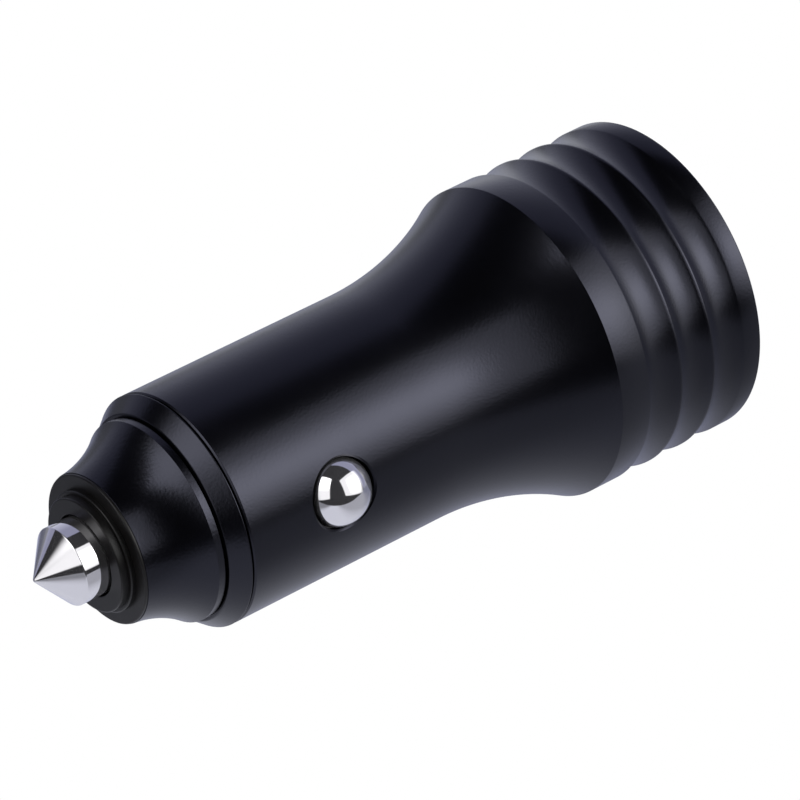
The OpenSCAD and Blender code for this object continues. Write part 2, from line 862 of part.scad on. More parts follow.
// Tongue with its contact grooves and the block that closes the shell's back
module usb_tongue(side) {
    fit = 0.05;
    block_w = port_w - 2 * fit;
    block_h = port_h - 2 * fit;
    slot_w = blade_w + 2 * fit;
    block_z = shell_back - tongue_block_l;
    tip_cut = 0.6;
    color([0.08, 0.08, 0.09])
        on_side(side)
            difference() {
                union() {
                    translate([-tongue_w / 2, tongue_y, tongue_z])
                        cube([tongue_w, tongue_t, shell_back - tongue_z]);
                    translate([-block_w / 2, board_half_t + shell_t + fit, block_z])
                        cube([block_w, block_h, tongue_block_l]);
                }
                for (x = blade_xs)
                    translate([x - slot_w / 2, tongue_y - blade_t - fit, block_z - cut])
                        cube([slot_w, blade_t + 2 * fit, tongue_block_l + 2 * cut]);
                // Chamfered lower edge of the tongue's tip
                translate([0, tongue_y, tongue_z])
                    rotate([45, 0, 0])
                        cube([2 * tongue_w, tip_cut, tip_cut], center = true);
            }
}

module usb_tongue_a() {
    usb_tongue(1);
}

module usb_tongue_b() {
    usb_tongue(-1);
}

// Four blades that lie on the tongue and turn down to the board behind the shell
module usb_contacts(side) {
    tail_z = shell_back + blade_tail_l - blade_t;
    blade_y = tongue_y - blade_t;
    color(brass)
        on_side(side)
            for (x = blade_xs) {
                translate([x - blade_w / 2, blade_y, tongue_z + blade_inset])
                    cube([blade_w, blade_t, shell_back + blade_tail_l - tongue_z - blade_inset]);
                translate([x - blade_w / 2, board_half_t, tail_z])
                    cube([blade_w, blade_y + blade_t - board_half_t, blade_t]);
            }
}

module usb_contacts_a() {
    usb_contacts(1);
}

module usb_contacts_b() {
    usb_contacts(-1);
}

// Shielded coil: square body with chamfered corners and a round core on top
module power_inductor() {
    corner = 0.8;
    half = inductor_w / 2;
    top_t = 0.3;
    core_share = 0.8;
    color([0.25, 0.25, 0.27])
        translate([0, board_half_t, parts_z + half])
            rotate([-90, 0, 0]) {
                linear_extrude(inductor_h - top_t)
                    polygon([
                        [-half + corner, -half], [half - corner, -half],
                        [half, -half + corner], [half, half - corner],
                        [half - corner, half], [-half + corner, half],
                        [-half, half - corner], [-half, -half + corner]
                    ]);
                cylinder(r = half * core_share, h = inductor_h, $fn = 64);
            }
}

// Can that lies along the board's rear face
module input_capacitor() {
    crimp_z = 1.6;
    crimp_r = 0.35;
    color([0.1, 0.12, 0.3])
        translate([0, -board_half_t - input_cap_r, parts_z])
            rotate_extrude($fn = 64)
                difference() {
                    square([input_cap_r, input_cap_l]);
                    translate([input_cap_r + crimp_r / 2, crimp_z])
                        circle(r = crimp_r, $fn = 32);
                }
}

// Can that stands on the board's front face
module output_capacitor() {
    color([0.75, 0.75, 0.77])
        translate([-output_cap_x, board_half_t, output_cap_z])
            rotate([-90, 0, 0]) {
                translate([-output_cap_w / 2, -output_cap_w / 2, 0])
                    cube([output_cap_w, output_cap_w, output_cap_base_t]);
                cylinder(r = output_cap_r, h = output_cap_top - board_half_t, $fn = 64);
            }
}

// Chip with its two rows of leads, on the board's rear face
module controller_chip() {
    lead_w = 0.4;
    lead_pitch = 1.27;
    lead_reach = 1;
    lead_h = 0.25;
    standoff = 0.1;
    color([0.12, 0.12, 0.12])
        translate([0, -board_half_t, chip_z + chip_l / 2])
            rotate([90, 0, 0]) {
                translate([-chip_w / 2, -chip_l / 2, standoff])
                    cube([chip_w, chip_l, chip_h - standoff]);
                for (i = [-1.5 : 1 : 1.5])
                    translate([-chip_w / 2 - lead_reach, i * lead_pitch - lead_w / 2, 0])
                        cube([chip_w + 2 * lead_reach, lead_w, lead_h]);
            }
}

// Chip resistors and capacitors on both faces of the board
module small_components() {
    column_x = rail_x - inductor_side_room / 2;
    color([0.55, 0.45, 0.35])
        for (i = [0 : small_rows - 1], x = [-1, 1], face = [0, 1])
            mirror([0, face, 0])
                translate([
                    x * column_x - small_w / 2,
                    board_half_t,
                    parts_z + i * small_pitch
                ])
                    cube([small_w, small_h, small_l]);
}

module status_led() {
    color([0.9, 0.9, 0.7])
        translate([pipe_x - led_w / 2, board_half_t, board_z])
            cube([led_w, led_h, led_l]);
}

module light_pipe() {
    color([0.8, 0.88, 0.95])
        translate([pipe_x, board_half_t + led_h / 2, face_z])
            cylinder(d = pipe_d, h = board_z - face_z, $fn = 48);
}

// Frustum with a rectangular foot on z = 0 that narrows by its height on each side
module chamfer_block(w, h, size) {
    intersection() {
        rotate([90, 0, 0])
            linear_extrude(2 * h, center = true)
                polygon([
                    [-w / 2 - size, 0], [w / 2 + size, 0], [w / 2, size], [-w / 2, size]
                ]);
        rotate([90, 0, 90])
            linear_extrude(2 * w, center = true)
                polygon([
                    [-h / 2 - size, 0], [h / 2 + size, 0], [h / 2, size], [-h / 2, size]
                ]);
    }
}

module face_plate() {
    color(black_plastic)
        difference() {
            rotate_extrude($fn = round_fn)
                polygon([
                    [0, face_z],
                    [face_r - face_chamfer, face_z],
                    [face_r, face_z + face_chamfer],
                    [face_r, face_back],
                    [0, face_back]
                ]);
            for (side = [-1, 1])
                translate([0, side * port_y, face_z]) {
                    translate([-port_w / 2, -port_h / 2, -cut])
                        cube([port_w, port_h, face_t + 2 * cut]);
                    chamfer_block(port_w, port_h, window_chamfer);
                }
            translate([pipe_x, board_half_t + led_h / 2, face_z - cut])
                cylinder(r = pipe_d / 2 + pipe_gap, h = face_t + 2 * cut, $fn = 48);
        }
}

body_shell();
nose_cap();
nose_insulator();
tip_contact();
tip_spring();
spring_terminal();
positive_lead();
contact_carrier();
side_contact_right();
side_contact_left();
side_spring_right();
side_spring_left();
ground_strip();
inner_housing();
circuit_board();
usb_shell_a();
usb_shell_b();
usb_tongue_a();
usb_tongue_b();
usb_contacts_a();
usb_contacts_b();
power_inductor();
input_capacitor();
output_capacitor();
controller_chip();
small_components();
status_led();
light_pipe();
face_plate();
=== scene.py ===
"""Car USB charger plug: the turned metal body, its polished contacts and its two sockets.

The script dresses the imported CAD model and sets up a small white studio. It is laid out as an
add-on and is run as a script.
"""

import json
import math

import bpy
from bpy.props import FloatProperty, FloatVectorProperty, IntProperty, PointerProperty
from mathutils import Matrix, Vector


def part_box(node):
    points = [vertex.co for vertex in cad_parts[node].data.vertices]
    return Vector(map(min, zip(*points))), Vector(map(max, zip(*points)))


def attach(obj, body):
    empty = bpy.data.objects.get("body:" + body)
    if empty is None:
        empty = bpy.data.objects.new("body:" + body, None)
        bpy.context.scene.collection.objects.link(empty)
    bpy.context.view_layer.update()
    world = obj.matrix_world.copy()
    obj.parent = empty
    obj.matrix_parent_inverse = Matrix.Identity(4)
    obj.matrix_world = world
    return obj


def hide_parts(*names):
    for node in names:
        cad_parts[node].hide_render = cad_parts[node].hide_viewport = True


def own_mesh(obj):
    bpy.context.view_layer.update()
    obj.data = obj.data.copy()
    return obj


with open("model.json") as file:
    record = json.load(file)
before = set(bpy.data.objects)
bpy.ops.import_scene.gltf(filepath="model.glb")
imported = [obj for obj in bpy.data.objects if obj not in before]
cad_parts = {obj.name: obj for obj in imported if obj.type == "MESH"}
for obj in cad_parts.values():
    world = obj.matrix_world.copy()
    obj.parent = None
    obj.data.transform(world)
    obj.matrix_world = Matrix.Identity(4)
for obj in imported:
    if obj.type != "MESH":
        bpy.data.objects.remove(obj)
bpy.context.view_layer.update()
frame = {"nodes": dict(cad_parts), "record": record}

bl_info = {
    "name": "Car USB charger plug",
    "version": (1, 0, 0),
    "blender": (4, 5, 0),
    "location": "3D View > Sidebar > Plug",
    "description": "Builds the visible pieces, finishes and studio of a car USB charger plug",
    "category": "Object",
}

MM = 0.001
TURN = 2 * math.pi

# Sizes that the pieces share with the CAD model, read from its boxes
_, BODY_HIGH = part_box("body_shell")
NOSE_LOW, NOSE_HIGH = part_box("nose_cap")
INSULATOR_LOW, INSULATOR_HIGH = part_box("nose_insulator")
TIP_LOW, TIP_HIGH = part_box("tip_contact")
SIDE_LOW, SIDE_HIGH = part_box("side_contact_right")
HEAD_R = BODY_HIGH[0]
SEAM_Z = BODY_HIGH[2]
BARREL_R = NOSE_HIGH[0]
NECK_Z = NOSE_HIGH[2]
STEP_R = INSULATOR_HIGH[0]
INSULATOR_Z = INSULATOR_HIGH[2]
POINT_Z = TIP_HIGH[2]
SIDE_Z = (SIDE_LOW[2] + SIDE_HIGH[2]) / 2

# Heights of the flanges that keep the contacts in, and the gap round the insulator's sleeve
TIP_FLANGE = 1.2 * MM
SIDE_FLANGE = 0.8 * MM
SLEEVE_GAP = 0.05 * MM

# Distance of the support points beside a rounded corner
SUPPORT = 0.03 * MM

# Rows of faces in the band round the side holes, and rings of faces round each hole
BAND_ROWS = 32
HOLE_RINGS = 8

# Range that nearly all values of a noise texture lie in
NOISE_LOW = 0.3
NOISE_HIGH = 0.7

# Shares by which the gloss varies in most finishes and on the anodised skin, and the skin's colour
FINISH_HAZE = 0.07
SKIN_HAZE = 0.06
SKIN_MOTTLE = 0.1

# Grains across one of the clouds in which a finish varies, and the clouds' scale on the anodised skin
CLOUD_GRAINS = 12
SKIN_CLOUDS = 260

# Roughness of the anodised skin, and the strength and tint of what it reflects
SATIN_ROUGH = 0.25
SKIN_IOR = 1.36
SKIN_TINT = (0.96, 0.98, 1.26)

WHITE = (1, 1, 1)
BLACK = (0, 0, 0)

# Camera: a point on the axis, as a height over the seam, and the camera's place from it along the
# plug in the picture, across it and back from it
AIM_HEIGHT = 14.5 * MM
CAMERA_ALONG = 32.82 * MM
CAMERA_ACROSS = 0.056 * MM
CAMERA_BACK = 449.85 * MM
SENSOR_MM = 36
CLIP_START = 0.01
CLIP_END = 20

# Middle of the stage on the plug's axis, as a depth under the seam
STAGE_DEPTH = 11 * MM

# Floor: how far it is turned round the plug's axis from the side that faces the camera, its distance
# from the axis, and its reach from the point under the plug to the front, the back and each side
FLOOR_TURN = math.radians(45)
FLOOR_DROP = 0.07
FLOOR_FRONT = 0.42
FLOOR_BACK = 1.1
FLOOR_SIDE = 1.0

# Shade on the floor, by the distance in metres from the point under the plug: where it grows and
# where it ends behind that point, where it grows to the right and left, and the light it takes there
SHADE_START = (-0.02, 0.08)
SHADE_END = (0.12, 0.35)
SHADE_RIGHT = (0.02, 0.11)
SHADE_LEFT = (-0.05, -0.12)
RIGHT_LOSS = 0.42
LEFT_LOSS = 0.65

# Dark room round the camera: corners and hub, in degrees to the right of and below the way to the
# camera, and their distance
DARK_CORNERS = (
    (-88, -45), (-75, -68), (-45, -82), (-10, -86), (18, -83), (45, -70), (60, -58), (80, -40),
    (100, -5), (96, 27), (60, 46), (22, 65), (-30, 70), (-70, 50), (-90, 10),
)
DARK_HUB = (0, -20)
DARK_DISTANCE = 2.0

# Colours of the floor, the dark room and the world for matt surfaces
FLOOR_MATT = (0.8, 0.8, 0.8)
DARK_MATT = (0.02, 0.02, 0.02)
WORLD_MATT = (0.8, 0.8, 0.82)

# Cosine of the angle to the way to the camera, from where the backdrop gets brighter to its brightest
BACKDROP_SPAN = (-0.3, -0.9)


def size(name, description, default, **limits):
    """A length that a user can change, given in millimetres."""
    return FloatProperty(
        name=name, description=description, default=default * MM, unit="LENGTH", precision=5, **limits
    )


def tint(name, description, default):
    """A colour that a user can change."""
    return FloatVectorProperty(
        name=name, description=description, default=default, size=3, subtype="COLOR", min=0, max=1
    )


def degrees(name, description, default):
    """An angle that a user can change, given in degrees."""
    return FloatProperty(
        name=name, description=description, default=math.radians(default), subtype="ANGLE"
    )


def brightness(name, description, default):
    """Brightness of a lamp that a user can change."""
    return FloatProperty(name=name, description=description, default=default, min=0)


class PlugBodySizes(bpy.types.PropertyGroup):
    """Sizes and colours of the turned body"""

    groove_count: IntProperty(name="Grooves", description="Number of grip grooves", default=3)
    groove_pitch: size("Groove pitch", "Distance from one grip groove to the next", 3.6)
    groove_depth: size("Groove depth", "Depth of the grip grooves", 0.4)
    first_groove_depth: size("First groove depth", "Depth of the groove next to the band", 0.3)
    groove_land: size("Groove land", "Width of the land between two grooves", 0.14)
    head_band: size("Head band", "Length of the smooth band on the head", 2.9)
    end_band: size("End band", "Length of the band behind the last groove", 1.75)
    end_chamfer: size("End chamfer", "Chamfer round the wide end", 0.15)
    flare: size("Flare", "Length of the curve from the head to the barrel", 14.4)
    seam_chamfer: size("Seam chamfer", "Chamfer at the front seam", 0.14)
    bore: size("Bore", "Radius of the barrel's bore", 9.2)
    face_bore: size("Face bore", "Radius of the recess for the face plate", 12.4)
    face_depth: size("Face depth", "Depth of the recess for the face plate", 2.3)
    side_hole: size("Side hole", "Radius of the openings for the side contacts", 3.08)
    edge: size("Edge", "Radius of the broken edges", 0.06)
    hole_edge: size("Hole edge", "Chamfer round the side openings", 0.18)
    metal: tint("Metal", "Base colour of the anodised metal", (0.0006, 0.0006, 0.0009))


class PlugNoseSizes(bpy.types.PropertyGroup):
    """Sizes and colours of the nose cap and its insulator"""

    band: size("Band", "Length of the rounded band", 1.74)
    band_land: size("Band land", "Length of the band's straight part", 0.06)
    band_taper: size("Band taper", "How far the band tapers in to its front edge", 1.14)
    seam_gap: size("Seam gap", "Width of the shadow gap at the seam", 0.12)
    seam_depth: size("Seam depth", "Depth of the shadow gap at the seam", 0.5)
    groove: size("Groove", "Width of the turned groove under the lip", 0.15)
    groove_depth: size("Groove depth", "Depth of the turned groove under the lip", 0.7)
    lip: size("Lip", "Length of the lip", 0.68)
    lip_inset: size("Lip inset", "Distance of the lip's edge from the barrel's diameter", 1.42)
    cove_rise: size("Cove rise", "Height of the hollow curve", 2.25)
    neck_slope: degrees("Neck slope", "Slope of the hollow curve where it meets the insulator", 6)
    neck_wall: size("Neck wall", "Wall of the cap's neck", 0.63)
    middle_step: size("Middle step", "Radius of the insulator's middle step", 5.38)
    front_step: size("Front step", "Radius of the insulator's front step", 5.04)
    rear_length: size("Rear step length", "Length of the insulator's rear step", 0.25)
    step_length: size("Step length", "Length of the insulator's middle step", 0.48)
    step_edge: size("Step edge", "Radius of the edges of the insulator's steps", 0.12)
    guide: size("Guide bore", "Radius of the insulator's guide bore", 3.61)
    guide_edge: size("Guide edge", "Radius round the guide bore's mouth", 0.08)
    plastic: tint("Plastic", "Colour of the insulator", (0.0042, 0.0038, 0.0038))


class PlugContactSizes(bpy.types.PropertyGroup):
    """Sizes and colours of the tip and side contacts"""

    shank: size("Tip shank", "Radius of the tip contact's shank", 3.45)
    cone: size("Tip cone", "Length of the tip's cone", 2.88)
    point: size("Tip point", "Radius of the ball at the point", 0.3)
    edge: size("Tip edge", "Radius of the edge between the cone and the shank", 0.12)
    dome: size("Side dome", "Radius of the rounded side contacts", 3.0)
    dome_out: size("Side dome reach", "How far the side contacts stand out", 1.68)
    chrome: tint("Chrome", "Colour of the polished plating", (0.63, 0.62, 0.64))


class PlugStageSizes(bpy.types.PropertyGroup):
    """Camera, floor and lights"""

    tilt: degrees("Tilt", "Angle between the plug's axis and the picture plane", 29.87)
    roll: degrees("Roll", "Angle of the plug's axis to the picture's level", 26.4)
    spin: degrees("Spin", "Angle of the side contact from the side that faces the camera", 28.5)
    lens: FloatProperty(name="Lens", description="Focal length in millimetres", default=252, unit="CAMERA")
    key_light: brightness("Key light", "Brightness of the large soft light", 1.42)
    key_core: brightness("Key core", "Extra brightness within the large soft light", 4.8)
    fill_light: brightness("Fill light", "Brightness of the left soft light", 1.45)
    fill_core: brightness("Fill core", "Extra brightness within the left soft light", 2.4)
    floor_near: tint("Floor", "Colour of the floor round the plug", (0.88, 0.9, 1.0))
    floor_shade: tint("Floor shade", "Colour of the floor in the shade behind the plug", (0.42, 0.44, 0.6))
    backdrop: tint("Backdrop", "Colour of the backdrop behind the plug", (0.8, 0.82, 1.0))
    side_dim: tint("Side backdrop", "Colour of the backdrop at the sides", (0.37, 0.38, 0.53))
    dark: tint("Dark room", "Colour of the unlit room round the camera", (0.01, 0.01, 0.013))


def arc(centre, radius, start, end, count):
    """Points on a circle from one angle to another, in degrees, ends included."""
    points = []
    for i in range(count + 1):
        angle = math.radians(start + (end - start) * i / count)
        points.append((centre[0] + radius * math.cos(angle), centre[1] + radius * math.sin(angle)))
    return points


def chord(centre, radius, first, last, count):
    """Points on the shorter arc of a circle between two of its points, ends included."""
    start = math.degrees(math.atan2(first[1] - centre[1], first[0] - centre[0]))
    end = math.degrees(math.atan2(last[1] - centre[1], last[0] - centre[0]))
    if end - start > 180:
        end -= 360
    if start - end > 180:
        end += 360
    return arc(centre, radius, start, end, count)


def rounded(points, count=6):
    """Outline with its corners rounded, where a point has a radius as its third value.

    A support point on each side of a rounded corner keeps the shading of the flat parts flat. It
    lies at most a fifth of the way along the next edge.
    """
    result = []
    for i, point in enumerate(points):
        if len(point) == 2 or point[2] == 0:
            result.append((point[0], point[1]))
            continue
        corner = Vector(point[:2])
        before = Vector(points[i - 1][:2]) - corner
        after = Vector(points[(i + 1) % len(points)][:2]) - corner
        back = before.normalized()
        ahead = after.normalized()
        half = math.acos(max(-1, min(1, back.dot(ahead)))) / 2
        reach = point[2] / math.tan(half)
        middle = corner + (back + ahead).normalized() * point[2] / math.sin(half)
        result.append(tuple(corner + back * (reach + min(SUPPORT, before.length / 5))))
        result += chord(middle, point[2], corner + back * reach, corner + ahead * reach, count)
        result.append(tuple(corner + ahead * (reach + min(SUPPORT, after.length / 5))))
    return result


def sweep_radius(rise, run):
    """Radius of an arc that leaves a line along it and rises by a step over a run."""
    return (rise * rise + run * run) / (2 * rise)


class Turned:
    """A solid of revolution, built ring by ring from an outline of (radius, height) points."""

    def __init__(self, segments=256):
        self.segments = segments
        self.vertices = []
        self.faces = []

    def ring(self, radius, height):
        """Adds a ring of vertices, or one vertex on the axis, and returns their numbers."""
        if radius == 0:
            self.vertices.append((0, 0, height))
            return [len(self.vertices) - 1]
        first = len(self.vertices)
        for j in range(self.segments):
            angle = TURN * j / self.segments
            self.vertices.append((radius * math.cos(angle), radius * math.sin(angle), height))
        return list(range(first, first + self.segments))

    def join(self, low, high):
        """Joins two rings with faces that look outwards where the second is the higher one."""
        for j in range(self.segments):
            k = (j + 1) % self.segments
            if len(low) == 1:
                self.faces.append((low[0], high[k], high[j]))
            elif len(high) == 1:
                self.faces.append((low[j], low[k], high[0]))
            else:
                self.faces.append((low[j], low[k], high[k], high[j]))

    def outline(self, points, closed=False):
        """Adds a ring for each point, joins them in order and returns them."""
        rings = [self.ring(r, z) for r, z in points]
        for low, high in zip(rings, rings[1:]):
            self.join(low, high)
        if closed:
            self.join(rings[-1], rings[0])
        return rings

    def mesh(self, name, crease=28):
        """Mesh with smooth faces, and with edges sharper than the crease angle kept hard."""
        mesh = bpy.data.meshes.new(name)
        mesh.from_pydata(self.vertices, [], self.faces)
        mesh.validate()
        mesh.shade_smooth()
        mesh.set_sharp_from_angle(angle=math.radians(crease))
        mesh.update()
        return mesh


def pierced_band(turned, low, high, radius, middle, hole, rim, inward):
    """Wall of a tube between two rings, with a round hole on the +X and the -X side.

    Returns the two loops of vertices round the holes, in matching order for any radius.
    """
    rows = BAND_ROWS
    half = rows // 2
    segments = turned.segments
    z_low = turned.vertices[low[0]][2]
    z_high = turned.vertices[high[0]][2]
    step = (z_high - z_low) / rows
    grid = {}
    for j in range(segments):
        grid[0, j] = low[j]
        grid[rows, j] = high[j]

    def column(j):
        """Number of a column, counted on past the last one."""
        return j % segments

    def offset(j):
        """Columns from the edge of a hole's patch, whose width is the number of rows."""
        return (j + half) % (segments // 2)

    for k in range(1, rows):
        for j in range(segments):
            if not 0 < offset(j) < rows:
                angle = TURN * j / segments
                grid[k, j] = len(turned.vertices)
                turned.vertices.append(
                    (radius * math.cos(angle), radius * math.sin(angle), z_low + k * step)
                )

    def add(a, b, c, d):
        """Adds a face, turned round for a wall that is seen from inside."""
        turned.faces.append((d, c, b, a) if inward else (a, b, c, d))

    for k in range(rows):
        for j in range(segments):
            if offset(j) >= rows:
                m = column(j + 1)
                add(grid[k, j], grid[k, m], grid[k + 1, m], grid[k + 1, j])

    loops = []
    for side in (0, segments // 2):
        border = (
            [(k, half) for k in range(half, rows)]
            + [(rows, j) for j in range(half, -half, -1)]
            + [(k, -half) for k in range(rows, 0, -1)]
            + [(0, j) for j in range(-half, half)]
            + [(k, half) for k in range(0, half)]
        )
        previous = [grid[k, column(side + j)] for k, j in border]
        for layer in range(1, HOLE_RINGS + 1):
            share = layer / HOLE_RINGS
            current = []
            for k, j in border:
                edge_angle = TURN * j / segments
                edge_height = (k - half) * step
                around = math.atan2(k - half, j)
                reach = hole + rim
                round_angle = math.asin(reach * math.cos(around) / radius)
                round_height = reach * math.sin(around)
                angle = edge_angle + (round_angle - edge_angle) * share + TURN * side / segments
                height = edge_height + (round_height - edge_height) * share
                current.append(len(turned.vertices))
                turned.vertices.append(
                    (radius * math.cos(angle), radius * math.sin(angle), middle + height)
                )
            count = len(border)
            for i in range(count):
                m = (i + 1) % count
                add(current[i], previous[i], previous[m], current[m])
            previous = current
        loops.append(previous)
    return loops


def hole_wall(turned, outer_loops, inner_loops, radius, middle, hole, rim):
    """Chamfer and wall of the two side holes, from the outer surface to the bore."""
    for side, (outer, inner) in enumerate(zip(outer_loops, inner_loops)):
        sign = 1 if side == 0 else -1
        count = len(outer)
        edge = []
        for i in range(count):
            _, y, z = turned.vertices[outer[i]]
            around = math.atan2(z - middle, y * sign)
            across = hole * math.cos(around)
            depth = math.sqrt((radius - rim) ** 2 - across ** 2)
            edge.append(len(turned.vertices))
            turned.vertices.append((sign * depth, sign * across, middle + hole * math.sin(around)))
        for low, high in ((outer, edge), (edge, inner)):
            for i in range(count):
                m = (i + 1) % count
                turned.faces.append((low[m], low[i], high[i], high[m]))


def link(name, data):
    """Adds an object with its data to the scene."""
    piece = bpy.data.objects.new(name, data)
    bpy.context.scene.collection.objects.link(piece)
    return piece


def make_object(name, mesh, material, body):
    """Adds a piece to the scene, with its finish, riding on a CAD body."""
    piece = link(name, mesh)
    mesh.materials.append(material)
    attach(piece, body)
    return piece


def empty_tree(owner, output):
    """Node tree of a material, lamp or world with only an output, and that output's socket."""
    owner.use_nodes = True
    tree = owner.node_tree
    tree.nodes.clear()
    return tree, tree.nodes.new(output).inputs["Surface"]


def new_material(name):
    """A node material with only its output and shader."""
    material = bpy.data.materials.new(name)
    tree, surface = empty_tree(material, "ShaderNodeOutputMaterial")
    shader = tree.nodes.new("ShaderNodeBsdfPrincipled")
    tree.links.new(shader.outputs["BSDF"], surface)
    return material, tree, shader


def noise(tree, scale, detail=3):
    """Noise over the object's own coordinates, in metres."""
    place = tree.nodes.new("ShaderNodeTexCoord")
    texture = tree.nodes.new("ShaderNodeTexNoise")
    texture.inputs["Scale"].default_value = scale
    texture.inputs["Detail"].default_value = detail
    tree.links.new(place.outputs["Object"], texture.inputs["Vector"])
    return texture.outputs["Fac"]


def ramp(tree, value, first, last, low, high, kind="LINEAR"):
    """Maps a value from one range to another."""
    node = tree.nodes.new("ShaderNodeMapRange")
    node.interpolation_type = kind
    node.inputs["From Min"].default_value = first
    node.inputs["From Max"].default_value = last
    node.inputs["To Min"].default_value = low
    node.inputs["To Max"].default_value = high
    tree.links.new(value, node.inputs["Value"])
    return node.outputs["Result"]


def fade(tree, value, span, full=1):
    """Rises smoothly from 0 to a full value over a span of another value."""
    return ramp(tree, value, *span, 0, full, "SMOOTHSTEP")


def spread(tree, value, low, high):
    """Maps a noise value to a range."""
    return ramp(tree, value, NOISE_LOW, NOISE_HIGH, low, high)


def math_node(tree, operation, first, second):
    """A sum, product or other operation on two values."""
    node = tree.nodes.new("ShaderNodeMath")
    node.operation = operation
    tree.links.new(first, node.inputs[0])
    tree.links.new(second, node.inputs[1])
    return node.outputs["Value"]


def vector_node(tree, operation, first, second, output="Vector"):
    """An operation on a vector and a constant vector."""
    node = tree.nodes.new("ShaderNodeVectorMath")
    node.operation = operation
    tree.links.new(first, node.inputs[0])
    node.inputs[1].default_value = second
    return node.outputs[output]


def bump(tree, shader, height, distance):
    """Bumps the shader's normal by a noise, over a distance in metres."""
    node = tree.nodes.new("ShaderNodeBump")
    node.inputs["Distance"].default_value = distance
    tree.links.new(height, node.inputs["Height"])
    tree.links.new(node.outputs["Normal"], shader.inputs["Normal"])


def blend_colours(tree, factor, first, second):
    """A colour between two, by a factor from 0 to 1. Each colour is a constant or a socket."""
    node = tree.nodes.new("ShaderNodeMix")
    node.data_type = "RGBA"
    colours = [socket for socket in node.inputs if socket.type == "RGBA"]
    for socket, colour in zip(colours, (first, second)):
        if isinstance(colour, bpy.types.NodeSocket):
            tree.links.new(colour, socket)
        else:
            socket.default_value = (*colour, 1)
    tree.links.new(factor, node.inputs[0])
    return [socket for socket in node.outputs if socket.type == "RGBA"][0]


def uneven(tree, shader, cloud, colour, mottle, rough, haze):
    """Lets a slow noise vary the colour and the roughness, each by its share up and down."""
    darker = tuple(c * (1 - mottle) for c in colour)
    lighter = tuple(min(1, c * (1 + mottle)) for c in colour)
    tree.links.new(blend_colours(tree, cloud, darker, lighter), shader.inputs["Base Color"])
    gloss = spread(tree, cloud, rough * (1 - haze), rough * (1 + haze))
    tree.links.new(gloss, shader.inputs["Roughness"])


def finish(name, colour, rough, metallic=0, grain=2000, depth=0, mottle=0.15, ior=1.5, clear=0):
    """A finish with a slightly uneven colour and gloss, and an optional fine grain."""
    material, tree, shader = new_material(name)
    shader.inputs["Metallic"].default_value = metallic
    shader.inputs["IOR"].default_value = ior
    shader.inputs["Transmission Weight"].default_value = clear
    uneven(tree, shader, noise(tree, grain / CLOUD_GRAINS), colour, mottle, rough, FINISH_HAZE)
    if depth:
        bump(tree, shader, noise(tree, grain), depth)
    return material


def anodised(name, colour, grain, depth):
    """Black anodised metal: a clear dyed skin over a fine satin grain, a little blue."""
    material, tree, shader = new_material(name)
    shader.inputs["IOR"].default_value = SKIN_IOR
    shader.inputs["Specular Tint"].default_value = (*SKIN_TINT, 1)
    cloud = noise(tree, SKIN_CLOUDS, detail=4)
    uneven(tree, shader, cloud, colour, SKIN_MOTTLE, SATIN_ROUGH, SKIN_HAZE)
    bump(tree, shader, noise(tree, grain), depth)
    return material


def dress(node, material):
    """Gives a CAD node its finish."""
    mesh = frame["nodes"][node].data
    mesh.materials.clear()
    mesh.materials.append(material)


